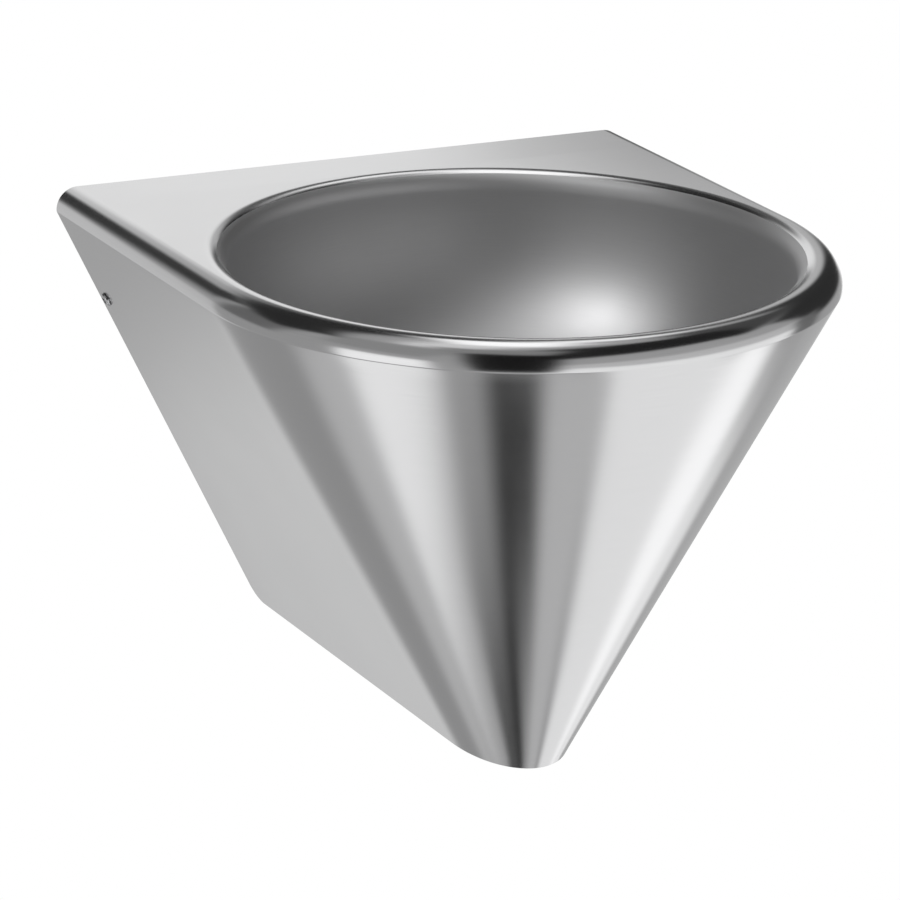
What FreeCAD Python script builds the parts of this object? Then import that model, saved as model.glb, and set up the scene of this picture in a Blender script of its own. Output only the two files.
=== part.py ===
"""Wall-hung stainless steel wash basin with a conical shroud, its wall bracket, grid waste and bottle trap.

Millimetres, +Z up. The wall is the plane y = 0 and the basin stands out of it towards -Y. The origin is the
centre of the bracket's four wall screw holes. Depths are measured down from the top of the deck.
"""
import FreeCAD, Part
import math
import os
import re

import Sketcher
from FreeCAD import Placement, Rotation, Vector

SIZES = {
    # Deck: pressed sheet with a rolled outer edge, a rounded bowl mouth and a turned-down rear flange
    "deck_rise": 62.0,
    "deck_sheet": 1.2,
    "bowl_setback": 206.5,
    "lip_radius": 11.6,
    "rim_land": 0.4,
    "roll_radius": 13.0,
    "roll_height": 13.5,
    "wall_flare": 6.3,
    "collar_depth": 14.0,
    "flange_depth": 30.0,
    "flange_half_width": 150.0,
    # Bowl: deep-drawn dish, a knuckle arc into a flatter crown arc, with a sunk seat for the waste
    "bowl_sheet": 1.2,
    "bowl_radius": 155.0,
    "knuckle_radius": 90.0,
    "crown_radius": 220.0,
    "seat_radius": 34.0,
    "seat_drop": 3.0,
    "waste_hole_radius": 22.5,
    # Skirt: conical shroud from the rolled edge down to a small open foot
    "skirt_sheet": 1.2,
    "skirt_back_depth": 275.5,
    "foot_radius": 30.8,
    "foot_flare": 30.8,
    "foot_lead": 21.9,
    "foot_tilt": 3.2,
    "foot_corner_radius": 9.0,
    # Wall bracket: plate, hook strip that the deck's flange drops behind, and an ear at each end
    "bracket_sheet": 2.0,
    "bracket_half_height": 32.0,
    "hook_top_depth": 14.0,
    "hook_bottom_depth": 41.0,
    "hook_half_width": 130.0,
    "ear_depth": 20.0,
    "ear_clearance": 0.5,
    "wall_hole_radius": 4.5,
    "wall_hole_half_span": 90.0,
    "wall_hole_half_rise": 14.0,
    # Side screws: low heads that lock the skirt to the bracket's ears, with their weld nuts
    "screw_depth": 66.6,
    "screw_setback": 10.2,
    "screw_radius": 2.5,
    "screw_hole_radius": 2.8,
    "screw_head_radius": 4.3,
    "screw_head_height": 1.4,
    "screw_edge_radius": 1.1,
    "screw_length": 14.0,
    "screw_seat_gap": 0.4,
    "socket_radius": 1.9,
    "socket_depth": 1.7,
    "socket_pin_radius": 0.6,
    "nut_seat_gap": 0.1,
    "nut_radius": 5.0,
    "nut_height": 4.0,
    # Grid waste: perforated grid, gaskets above and below the bowl, threaded body and one clamping screw
    "grid_radius": 31.0,
    "grid_thickness": 2.0,
    "grid_edge_radius": 0.8,
    "grid_hole_radius": 2.6,
    "grid_inner_ring": 10.0,
    "grid_outer_ring": 17.5,
    "upper_gasket": 1.5,
    "upper_gasket_radius": 29.5,
    "lower_gasket": 3.0,
    "body_flange_radius": 32.0,
    "body_flange": 4.0,
    "tail_radius": 20.95,
    "tail_bore_radius": 18.0,
    "tail_length": 41.0,
    "spider_height": 6.0,
    "spider_rib": 3.0,
    "boss_radius": 6.0,
    "clamp_screw_radius": 3.0,
    "clamp_hole_radius": 3.2,
    "clamp_head_radius": 5.6,
    # Bottle trap: union nut, dip tube, body with a side outlet, and a cup that unscrews for cleaning
    "union_half_flats": 25.0,
    "union_thread_length": 14.0,
    "union_floor": 3.0,
    "union_seal": 2.0,
    "tube_radius": 16.0,
    "tube_wall": 1.2,
    "tube_collar": 2.0,
    "tube_collar_radius": 20.5,
    "tube_length": 84.0,
    "fit_clearance": 0.1,
    "body_drop": 21.0,
    "body_neck_radius": 21.0,
    "body_neck_height": 9.0,
    "body_radius": 27.0,
    "body_height": 40.0,
    "body_wall": 2.5,
    "neck_nut_half_flats": 24.0,
    "neck_nut_height": 13.0,
    "neck_seal": 4.0,
    "outlet_drop": 20.0,
    "spigot_radius": 19.0,
    "spigot_length": 46.0,
    "spigot_bore_radius": 16.3,
    "thread_radius": 25.0,
    "thread_wall": 2.5,
    "thread_height": 12.0,
    "cup_clearance": 0.3,
    "cup_wall": 2.4,
    "cup_height": 42.0,
    "cup_seal": 2.0,
    "cup_floor_radius": 8.0,
    "cup_flute_radius": 3.0,
    # Outlet: compression nut, seal, pipe to the drain in the wall, and the sliding rosette over the hole
    "outlet_nut_half_flats": 22.5,
    "outlet_nut_length": 16.0,
    "outlet_seal": 4.0,
    "pipe_insertion": 22.0,
    "pipe_reach": 30.0,
    "pipe_mark_depth": 0.3,
    "pipe_mark_width": 1.0,
    "rosette_radius": 36.0,
    "rosette_depth": 12.0,
    "rosette_wall": 1.0,
    "rosette_neck": 4.0,
    # Overrun of the cutting shapes past what they cut
    "cut_overrun": 5.0,
}
NUT_SIDES = 8
GRID_INNER_HOLES = 6
GRID_OUTER_HOLES = 12
CUP_FLUTES = 12
SPIDER_RIBS = 3

doc = FreeCAD.newDocument("wash_basin")
sizes = doc.addObject("Spreadsheet::Sheet", "sizes")
for row, (alias, size) in enumerate(SIZES.items(), start=1):
    sizes.set(f"A{row}", alias)
    sizes.set(f"B{row}", str(size))
    sizes.setAlias(f"B{row}", alias)
doc.recompute()


def bound(formula):
    """A formula in the sheet's own words, with each size spelled as a reference to its cell."""
    return re.sub(r"[a-z_]+", lambda word: f"sizes.{word[0]}" if word[0] in SIZES else word[0], formula)


def bind(thing, prop, formula):
    thing.setExpression(prop, bound(formula))


def number(formula):
    """The present value of a formula."""
    value = sizes.evalExpression(bound(formula))
    return float(getattr(value, "Value", value))


# Heights and places that several pieces share, worked out from the sizes
MOUTH = "(bowl_radius + lip_radius)"
CROWN_OFFSET = "sqrt((crown_radius - knuckle_radius)^2 - (bowl_radius - knuckle_radius)^2)"
COLLAR_Z = "(deck_rise - collar_depth)"
CROWN_Z = f"({COLLAR_Z} + {CROWN_OFFSET})"
SEAT_Z = f"({CROWN_Z} - sqrt(crown_radius^2 - seat_radius^2) - seat_drop)"
TAIL_Z = f"({SEAT_Z} - bowl_sheet - lower_gasket - body_flange - tail_length)"
BODY_Z = f"({TAIL_Z} - body_drop)"
BODY_FLOOR_Z = f"({BODY_Z} - body_neck_height - body_height)"
OUTLET_Z = f"({BODY_Z} - body_neck_height - outlet_drop)"
SPIGOT_END = "(spigot_length - bowl_setback)"
RIM = f"({MOUTH} + rim_land + roll_radius)"
DECK_HALF = f"({RIM} + wall_flare)"
FOOT_HALF = "(foot_radius + foot_flare)"
FOOT_SETBACK = "(bowl_setback + foot_lead)"
SKIRT_HEIGHT = "(skirt_back_depth - roll_height)"
LEAN = f"(({DECK_HALF} - {FOOT_HALF}) / {SKIRT_HEIGHT})"
SKIRT_WALL = f"(skirt_sheet * sqrt(1 + {LEAN}^2))"


def drift(setback, depth):
    """How far the skirt's side has come in from its place at the wall, at a setback and a depth."""
    share_down = f"(({depth} - roll_height) / {SKIRT_HEIGHT})"
    top_splay = "(wall_flare / bowl_setback)"
    foot_splay = f"(foot_flare / {FOOT_SETBACK})"
    return f"({setback} * ({top_splay} * (1 - {share_down}) + {foot_splay} * {share_down}))"


def half_width_at(depth):
    """Outer half width of the skirt where it meets the wall, at a depth under the deck."""
    return f"({DECK_HALF} - ({depth} - roll_height) * {LEAN})"


def new_body(label):
    body = doc.addObject("PartDesign::Body", label)
    body.Label = label
    return body


def plane_sketch(body, role, name, offset="0"):
    """A sketch on one of the body's own origin planes, moved along the plane's normal."""
    sketch = body.newObject("Sketcher::SketchObject", name)
    plane = next(feature for feature in body.Origin.OriginFeatures if feature.Role == role)
    sketch.AttachmentSupport = [(plane, "")]
    sketch.MapMode = "FlatFace"
    bind(sketch, "AttachmentOffset.Base.z", offset)
    return sketch


def pin_point(sketch, geometry, point, x, y):
    """Holds a point of the sketch at formulas for x and y."""
    for kind, formula in (("DistanceX", x), ("DistanceY", y)):
        index = sketch.addConstraint(Sketcher.Constraint(kind, -1, 1, geometry, point, number(formula)))
        bind(sketch, f"Constraints[{index}]", formula)


def outline(sketch, points):
    """A closed outline. A point is (x, y), or (x, y, radius, turn) where the stretch to the next point
    is an arc that turns left (1) or right (-1)."""
    places = [Vector(number(p[0]), number(p[1]), 0) for p in points]
    first = sketch.GeometryCount
    ends = []
    for i, point in enumerate(points):
        here, there = places[i], places[(i + 1) % len(points)]
        if len(point) == 2:
            sketch.addGeometry(Part.LineSegment(here, there))
            ends.append((1, 2))
            continue
        radius, turn = number(point[2]), point[3]
        half = (there - here) / 2
        rise = math.sqrt(max(radius ** 2 - half.Length ** 2, 0))
        centre = here + half + Vector(-half.y, half.x, 0).normalize() * rise * turn
        angles = [math.atan2(p.y - centre.y, p.x - centre.x) for p in (here, there)][::turn]
        sketch.addGeometry(Part.ArcOfCircle(Part.Circle(centre, Vector(0, 0, 1), radius), *angles))
        ends.append((1, 2)[::turn])
    for i, point in enumerate(points):
        following = (i + 1) % len(points)
        sketch.addConstraint(
            Sketcher.Constraint("Coincident", first + i, ends[i][1], first + following, ends[following][0]))
        pin_point(sketch, first + i, ends[i][0], point[0], point[1])
        if len(point) == 4:
            index = sketch.addConstraint(Sketcher.Constraint("Radius", first + i, number(point[2])))
            bind(sketch, f"Constraints[{index}]", point[2])


def circle(sketch, x, y, radius):
    """A full circle held at formulas for its centre and radius."""
    ring = sketch.addGeometry(Part.Circle(Vector(number(x), number(y), 0), Vector(0, 0, 1), number(radius)))
    index = sketch.addConstraint(Sketcher.Constraint("Radius", ring, number(radius)))
    bind(sketch, f"Constraints[{index}]", radius)
    pin_point(sketch, ring, 3, x, y)


def basin_outline(sketch, half_width, radius, setback, wall="0"):
    """The plan of the basin: two straight sides from the wall, tangent to a round front."""
    half, round_, back, rear = (number(f) for f in (half_width, radius, setback, wall))
    centre = Vector(0, -back, 0)
    left_wall, right_wall = Vector(-half, rear, 0), Vector(half, rear, 0)
    left_side, right_side = Vector(-round_, -back, 0), Vector(round_, -back, 0)
    front = Part.ArcOfCircle(Part.Circle(centre, Vector(0, 0, 1), round_), math.pi, 2 * math.pi)
    for edge in (Part.LineSegment(left_wall, left_side), front,
                 Part.LineSegment(right_side, right_wall), Part.LineSegment(right_wall, left_wall)):
        sketch.addGeometry(edge)
    sketch.addConstraint(Sketcher.Constraint("Tangent", 0, 2, 1, 1))
    sketch.addConstraint(Sketcher.Constraint("Tangent", 1, 2, 2, 1))
    sketch.addConstraint(Sketcher.Constraint("Coincident", 2, 2, 3, 1))
    sketch.addConstraint(Sketcher.Constraint("Coincident", 3, 2, 0, 1))
    pin_point(sketch, 0, 1, f"-({half_width})", wall)
    pin_point(sketch, 3, 1, half_width, wall)
    pin_point(sketch, 1, 3, "0", f"-({setback})")
    index = sketch.addConstraint(Sketcher.Constraint("Radius", 1, round_))
    bind(sketch, f"Constraints[{index}]", radius)


def feature(body, kind, name, sketch, **formulas):
    """A sketch-based feature whose lengths are bound to formulas."""
    made = body.newObject(f"PartDesign::{kind}", name)
    made.Profile = sketch
    for prop, formula in formulas.items():
        bind(made, prop, formula)
    return made


def turned(body, kind, name, sketch):
    """A full Revolution or Groove about the sketch's vertical axis."""
    made = feature(body, kind, name, sketch)
    made.ReferenceAxis = (sketch, ["V_Axis"])
    made.Angle = 360
    return made


def rounded(body, base, name, radius, chosen):
    """Fillets the edges of a feature that a test picks out."""
    doc.recompute()
    names = [f"Edge{i}" for i, edge in enumerate(base.Shape.Edges, start=1) if chosen(edge)]
    made = body.newObject("PartDesign::Fillet", name)
    made.Base = (base, names)
    bind(made, "Radius", radius)
    return made


def ring_pattern(body, original, sketch, name, count):
    """Repeats a feature evenly round the sketch's normal axis."""
    made = body.newObject("PartDesign::PolarPattern", name)
    made.Originals = [original]
    made.Axis = (sketch, ["N_Axis"])
    made.Angle = 360
    made.Occurrences = count
    body.Tip = made
    return made


def polygon(sides, half_flats):
    """Points of a regular polygon given by half its width across flats."""
    reach = f"({half_flats} / cos({180 / sides}))"
    return [(f"{reach} * cos({360 / sides * (i + 0.5)})", f"{reach} * sin({360 / sides * (i + 0.5)})")
            for i in range(sides)]


def turned_piece(label, points):
    """A piece turned about the bowl's upright axis, from an outline of radius and height."""
    body = new_body(label)
    profile = plane_sketch(body, "XZ_Plane", f"{label}_profile", "bowl_setback")
    outline(profile, points)
    turned(body, "Revolution", f"{label}_turning", profile)
    return body


def ring(label, inside, outside, low, high):
    """A plain flat ring about the bowl's upright axis."""
    return turned_piece(label, [(inside, low), (outside, low), (outside, high), (inside, high)])


def rolled_block(label, inset, wall, height):
    """The deck's plan as a solid block whose outer top edge is rounded over, drawn in by an inset."""
    body = new_body(label)
    plan = plane_sketch(body, "XY_Plane", f"{label}_plan", "deck_rise - roll_height")
    basin_outline(plan, f"{DECK_HALF} - {inset}", f"{RIM} - {inset}", "bowl_setback", wall)
    block = feature(body, "Pad", f"{label}_block", plan, Length=height)
    top = number(f"deck_rise - roll_height + {height}")
    rear = number(wall)
    near = number("deck_sheet") / 2

    def outer_top(edge):
        return abs(edge.BoundBox.ZMin - top) < near and edge.BoundBox.YMin < rear - near

    rounded(body, block, f"{label}_roll", f"roll_radius - {inset}", outer_top)
    return body


def make_deck():
    body = rolled_block("deck", "0", "0", "roll_height")
    hollow = body.newObject("PartDesign::Boolean", "deck_hollow")
    hollow.Type = "Cut"
    hollow.setObjects([rolled_block("deck_inside", "deck_sheet", "-deck_sheet", "roll_height - deck_sheet")])
    mouth_plan = plane_sketch(body, "XY_Plane", "deck_mouth_plan", "deck_rise")
    circle(mouth_plan, "0", "-bowl_setback", MOUTH)
    feature(body, "Pocket", "deck_mouth", mouth_plan, Length="deck_sheet + cut_overrun")
    lip = plane_sketch(body, "XZ_Plane", "deck_lip_profile", "bowl_setback")
    outline(lip, [
        (MOUTH, "deck_rise", "lip_radius", 1),
        ("bowl_radius", "deck_rise - lip_radius"),
        ("bowl_radius", COLLAR_Z),
        ("bowl_radius + deck_sheet", COLLAR_Z),
        ("bowl_radius + deck_sheet", "deck_rise - lip_radius", "lip_radius - deck_sheet", -1),
        (MOUTH, "deck_rise - deck_sheet"),
    ])
    turned(body, "Revolution", "deck_lip", lip)
    flange = plane_sketch(body, "XZ_Plane", "deck_flange_outline")
    outline(flange, [
        ("-flange_half_width", "deck_rise - flange_depth"), ("flange_half_width", "deck_rise - flange_depth"),
        ("flange_half_width", "deck_rise - deck_sheet"), ("-flange_half_width", "deck_rise - deck_sheet"),
    ])
    feature(body, "Pad", "deck_flange", flange, Length="deck_sheet")
    return body


def make_bowl():
    """Inner and outer faces share the centres of their arcs, so the drawn sheet keeps its thickness."""
    toe = "((bowl_radius - knuckle_radius) / (crown_radius - knuckle_radius))"
    drop = f"({CROWN_OFFSET} / (crown_radius - knuckle_radius))"
    seat_outside = "(seat_radius + bowl_sheet)"
    outer_crown = "(crown_radius + bowl_sheet)"
    return turned_piece("bowl", [
        ("bowl_radius", COLLAR_Z, "knuckle_radius", -1),
        (f"crown_radius * {toe}", f"{CROWN_Z} - crown_radius * {drop}", "crown_radius", -1),
        ("seat_radius", f"{SEAT_Z} + seat_drop"),
        ("seat_radius", SEAT_Z),
        ("waste_hole_radius", SEAT_Z),
        ("waste_hole_radius", f"{SEAT_Z} - bowl_sheet"),
        (seat_outside, f"{SEAT_Z} - bowl_sheet"),
        (seat_outside, f"{CROWN_Z} - sqrt({outer_crown}^2 - {seat_outside}^2)", outer_crown, 1),
        (f"{outer_crown} * {toe}", f"{CROWN_Z} - {outer_crown} * {drop}", "knuckle_radius + bowl_sheet", 1),
        ("bowl_radius + bowl_sheet", COLLAR_Z),
    ])


def skirt_section(name, height, half_width, radius, setback, wall, tilt):
    """A level or tilted plan of the skirt, as a section to loft through."""
    section = doc.addObject("Sketcher::SketchObject", name)
    section.Placement = Placement(Vector(), Rotation(Vector(1, 0, 0), number(tilt) or 0))
    basin_outline(section, half_width, radius, setback, wall)
    bind(section, "Placement.Base.z", height)
    if number(tilt):
        bind(section, "Placement.Rotation.Angle", tilt)
    return section


def skirt_loft(name, inset, wall):
    """Straight-ruled solid from the rolled edge down to the foot, drawn in by an inset."""
    loft = doc.addObject("Part::Loft", name)
    loft.Sections = [
        skirt_section(f"{name}_top", "deck_rise - roll_height", f"{DECK_HALF} - {inset}",
                      f"{RIM} - {inset}", "bowl_setback", wall, "0"),
        skirt_section(f"{name}_foot", "deck_rise - skirt_back_depth", f"{FOOT_HALF} - {inset}",
                      f"foot_radius - {inset}", FOOT_SETBACK, wall, "foot_tilt"),
    ]
    loft.Solid = True
    loft.Ruled = True
    return loft


def side_axis(thing, along="0"):
    """Stands a piece on the left panel at the side screw, its +Z out of the panel, moved out along it."""
    lean = f"atan({LEAN})"
    quarter_and_lean = f"90 deg + {lean}"
    thing.Placement = Placement(Vector(), Rotation(Vector(0, -1, 0), number(quarter_and_lean)))
    bind(thing, "Placement.Rotation.Angle", quarter_and_lean)
    seat = f"({half_width_at('screw_depth')} - {drift('screw_setback', 'screw_depth')})"
    bind(thing, "Placement.Base.x", f"-{seat} - ({along}) * cos({lean})")
    bind(thing, "Placement.Base.y", "-screw_setback")
    bind(thing, "Placement.Base.z", f"deck_rise - screw_depth - ({along}) * sin({lean})")


def mirrored(source, name):
    """The same piece on the right-hand side."""
    mirror = doc.addObject("Part::Mirroring", name)
    mirror.Source = source
    mirror.Normal = Vector(1, 0, 0)
    return mirror


def pair(label, left):
    """The left piece and its mirror image as one node of two solids."""
    group = doc.addObject("Part::Compound", label)
    group.Label = label
    group.Links = [left, mirrored(left, f"{label}_right")]
    return group


def cut(label, base, tool):
    made = doc.addObject("Part::Cut", label)
    made.Base = base
    made.Tool = tool
    made.Label = label
    return made


def side_drill(name):
    """Clearance holes for the two side screws, right through the skirt and the bracket's ears."""
    drill = doc.addObject("Part::Cylinder", name)
    bind(drill, "Radius", "screw_hole_radius")
    bind(drill, "Height", "screw_length + 2 * cut_overrun")
    side_axis(drill, "-screw_length - cut_overrun")
    return pair(f"{name}_pair", drill)


def make_skirt():
    shell = cut("skirt_shell", skirt_loft("skirt_outside", "0", "0"),
                skirt_loft("skirt_inside", SKIRT_WALL, "cut_overrun"))
    drilled = cut("skirt_drilled", shell, side_drill("skirt_drill"))
    corner = new_body("skirt_corner")
    reach = f"({FOOT_HALF} + cut_overrun)"
    low = "(deck_rise - skirt_back_depth)"
    profile = plane_sketch(corner, "YZ_Plane", "skirt_corner_profile", f"-{reach}")
    front_low = f"({low} - foot_corner_radius * tan(foot_tilt))"
    outline(profile, [
        ("cut_overrun", f"{low} + foot_corner_radius"),
        ("0", f"{low} + foot_corner_radius", "foot_corner_radius", -1),
        ("-foot_corner_radius", front_low), ("-foot_corner_radius", f"{front_low} - cut_overrun"),
        ("cut_overrun", f"{front_low} - cut_overrun"),
    ])
    feature(corner, "Pad", "skirt_corner_block", profile, Length=f"2 * {reach}")
    return cut("skirt", drilled, corner)


def make_bracket():
    body = new_body("bracket_body")

    def end(depth):
        return f"({half_width_at(depth)} - {SKIRT_WALL} - {drift('ear_depth', depth)} - ear_clearance)"

    top_end = end("(deck_rise - bracket_half_height)")
    low_end = end("(deck_rise + bracket_half_height)")
    plate = plane_sketch(body, "XZ_Plane", "bracket_plate_outline")
    outline(plate, [
        (f"-{low_end}", "-bracket_half_height"), (low_end, "-bracket_half_height"),
        (top_end, "bracket_half_height"), (f"-{top_end}", "bracket_half_height"),
    ])
    feature(body, "Pad", "bracket_plate", plate, Length="bracket_sheet")
    hook = plane_sketch(body, "XZ_Plane", "bracket_hook_outline", "bracket_sheet")
    hook_low, hook_top = "deck_rise - hook_bottom_depth", "deck_rise - hook_top_depth"
    outline(hook, [("-hook_half_width", hook_low), ("hook_half_width", hook_low),
                   ("hook_half_width", hook_top), ("-hook_half_width", hook_top)])
    feature(body, "Pad", "bracket_hook", hook, Length="bracket_sheet")
    for side, name in ((-1, "left"), (1, "right")):
        ear = plane_sketch(body, "XZ_Plane", f"bracket_{name}_ear_outline")
        outline(ear, [
            (f"{side} * {low_end}", "-bracket_half_height"), (f"{side} * {top_end}", "bracket_half_height"),
            (f"{side} * ({top_end} - bracket_sheet)", "bracket_half_height"),
            (f"{side} * ({low_end} - bracket_sheet)", "-bracket_half_height"),
        ])
        feature(body, "Pad", f"bracket_{name}_ear", ear, Length="ear_depth")
    holes = plane_sketch(body, "XZ_Plane", "bracket_wall_holes")
    for x_side in ("-", ""):
        for z_side in ("-", ""):
            circle(holes, f"{x_side}wall_hole_half_span", f"{z_side}wall_hole_half_rise", "wall_hole_radius")
    drilled = feature(body, "Pocket", "bracket_drilled", holes, Length="bracket_sheet + cut_overrun")
    drilled.Reversed = True
    return cut("wall_bracket", body, side_drill("bracket_drill"))


def make_side_screws():
    """Low-head security screw: a flat head with a rounded edge and a hexagon socket round a centre pin."""
    body = new_body("side_screw")
    profile = plane_sketch(body, "XZ_Plane", "side_screw_profile")
    outline(profile, [
        ("0", "-screw_length"), ("screw_radius", "-screw_length"), ("screw_radius", "0"),
        ("screw_head_radius", "0"),
        ("screw_head_radius", "screw_head_height - screw_edge_radius", "screw_edge_radius", 1),
        ("screw_head_radius - screw_edge_radius", "screw_head_height"), ("0", "screw_head_height"),
    ])
    turned(body, "Revolution", "side_screw_turning", profile)
    socket = plane_sketch(body, "XY_Plane", "side_screw_socket", "screw_head_height")
    outline(socket, polygon(6, "socket_radius"))
    circle(socket, "0", "0", "socket_pin_radius")
    feature(body, "Pocket", "side_screw_recess", socket, Length="socket_depth")
    side_axis(body, "screw_seat_gap")
    return pair("side_screws", body)


def make_side_nuts():
    """Weld nuts on the inner faces of the bracket's ears."""
    body = new_body("side_nut")
    profile = plane_sketch(body, "XZ_Plane", "side_nut_profile")
    inward = f"({drift('ear_depth', 'screw_depth')} - {drift('screw_setback', 'screw_depth')})"
    ear_inside = f"({SKIRT_WALL} + {inward} + ear_clearance + bracket_sheet)"
    ear_face = f"(-{ear_inside} * cos(atan({LEAN})) - nut_seat_gap)"
    outline(profile, [
        ("screw_radius", f"{ear_face} - nut_height"), ("nut_radius", f"{ear_face} - nut_height"),
        ("nut_radius", ear_face), ("screw_radius", ear_face),
    ])
    turned(body, "Revolution", "side_nut_turning", profile)
    side_axis(body)
    return pair("side_nuts", body)


def make_waste():
    """Grid, gaskets, body and clamping screw, stacked about the sunk seat of the bowl."""
    grid_z = f"({SEAT_Z} + upper_gasket)"
    grid_top = f"({grid_z} + grid_thickness)"
    under = f"({SEAT_Z} - bowl_sheet - lower_gasket)"
    bowl_under = f"({SEAT_Z} - bowl_sheet)"
    upper = ring("waste_upper_gasket", "waste_hole_radius", "upper_gasket_radius", SEAT_Z, grid_z)
    lower = ring("waste_lower_gasket", "waste_hole_radius", "body_flange_radius", under, bowl_under)

    grid = turned_piece("waste_grid", [
        ("clamp_hole_radius", grid_z), ("grid_radius", grid_z),
        ("grid_radius", f"{grid_top} - grid_edge_radius", "grid_edge_radius", 1),
        ("grid_radius - grid_edge_radius", grid_top), ("clamp_head_radius", grid_top),
        ("clamp_hole_radius", f"{grid_top} - grid_thickness / 2"),
    ])
    for name, reach, count in (("inner", "grid_inner_ring", GRID_INNER_HOLES),
                               ("outer", "grid_outer_ring", GRID_OUTER_HOLES)):
        centre = plane_sketch(grid, "XY_Plane", f"grid_{name}_axis", grid_top)
        bind(centre, "AttachmentOffset.Base.y", "-bowl_setback")
        circle(centre, reach, "0", "grid_hole_radius")
        hole = feature(grid, "Pocket", f"grid_{name}_hole", centre, Length="grid_thickness + cut_overrun")
        ring_pattern(grid, hole, centre, f"grid_{name}_ring", count)

    flange_low = f"({under} - body_flange)"
    waste_body = turned_piece("waste_body", [
        ("tail_bore_radius", TAIL_Z), ("tail_radius", TAIL_Z), ("tail_radius", flange_low),
        ("body_flange_radius", flange_low), ("body_flange_radius", under), ("tail_bore_radius", under),
    ])
    spider = plane_sketch(waste_body, "XY_Plane", "spider_rib_plan", f"{under} - spider_height")
    bind(spider, "AttachmentOffset.Base.y", "-bowl_setback")
    outline(spider, [("0", "-spider_rib / 2"), ("(tail_bore_radius + tail_radius) / 2", "-spider_rib / 2"),
                     ("(tail_bore_radius + tail_radius) / 2", "spider_rib / 2"), ("0", "spider_rib / 2")])
    rib = feature(waste_body, "Pad", "spider_rib", spider, Length="spider_height")
    ring_pattern(waste_body, rib, spider, "spider_ribs", SPIDER_RIBS)
    boss = plane_sketch(waste_body, "XY_Plane", "spider_boss_plan", f"{under} - spider_height")
    circle(boss, "0", "-bowl_setback", "boss_radius")
    feature(waste_body, "Pad", "spider_boss", boss, Length="spider_height")
    tapped = plane_sketch(waste_body, "XY_Plane", "spider_tapping", under)
    circle(tapped, "0", "-bowl_setback", "clamp_screw_radius")
    feature(waste_body, "Pocket", "spider_thread", tapped, Length="spider_height + cut_overrun")

    screw = turned_piece("waste_screw", [
        ("0", f"{under} - spider_height"), ("clamp_screw_radius", f"{under} - spider_height"),
        ("clamp_screw_radius", f"{grid_top} - grid_thickness / 2 - (clamp_hole_radius - clamp_screw_radius)"),
        ("clamp_hole_radius", f"{grid_top} - grid_thickness / 2"),
        ("clamp_head_radius", grid_top), ("0", grid_top),
    ])
    slot = plane_sketch(screw, "XY_Plane", "waste_screw_slot_plan", grid_top)
    bind(slot, "AttachmentOffset.Base.y", "-bowl_setback")
    outline(slot, polygon(6, "clamp_screw_radius - fit_clearance"))
    feature(screw, "Pocket", "waste_screw_socket", slot, Length="grid_thickness")
    return [upper, lower, grid, waste_body, screw]


def octagon_nut(label, half_flats, height, low, bores):
    """An upright union nut: an eight-sided block with stepped bores, given as (radius, from, to)."""
    body = new_body(label)
    plan = plane_sketch(body, "XY_Plane", f"{label}_plan", low)
    bind(plan, "AttachmentOffset.Base.y", "-bowl_setback")
    outline(plan, polygon(NUT_SIDES, half_flats))
    feature(body, "Pad", f"{label}_block", plan, Length=height)
    profile = plane_sketch(body, "XZ_Plane", f"{label}_bores", "bowl_setback")
    (wide, wide_low, wide_top), (narrow, narrow_low, narrow_top) = bores
    outline(profile, [("0", narrow_low), (narrow, narrow_low), (narrow, narrow_top), (wide, wide_low),
                      (wide, wide_top), ("0", wide_top)])
    turned(body, "Groove", f"{label}_bored", profile)
    return body


def make_trap_inlet():
    """Union nut, flat seal and dip tube under the waste's tail."""
    collar_top = f"({TAIL_Z} - union_seal)"
    collar_low = f"({collar_top} - tube_collar)"
    nut_low = f"({collar_low} - union_floor)"
    nut_top = f"({TAIL_Z} + union_thread_length)"
    nut = octagon_nut("trap_inlet_nut", "union_half_flats", f"{nut_top} - {nut_low}", nut_low, [
        ("tail_radius + fit_clearance", collar_low, f"{nut_top} + cut_overrun"),
        ("tube_radius + fit_clearance", f"{nut_low} - cut_overrun", collar_low),
    ])
    bore = "tube_radius - tube_wall"
    seal = ring("trap_inlet_seal", bore, "tube_collar_radius", collar_top, TAIL_Z)
    tube = turned_piece("trap_dip_tube", [
        (bore, f"{collar_top} - tube_length"), ("tube_radius", f"{collar_top} - tube_length"),
        ("tube_radius", collar_low), ("tube_collar_radius", collar_low),
        ("tube_collar_radius", collar_top), (bore, collar_top),
    ])
    return [nut, seal, tube]


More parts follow.
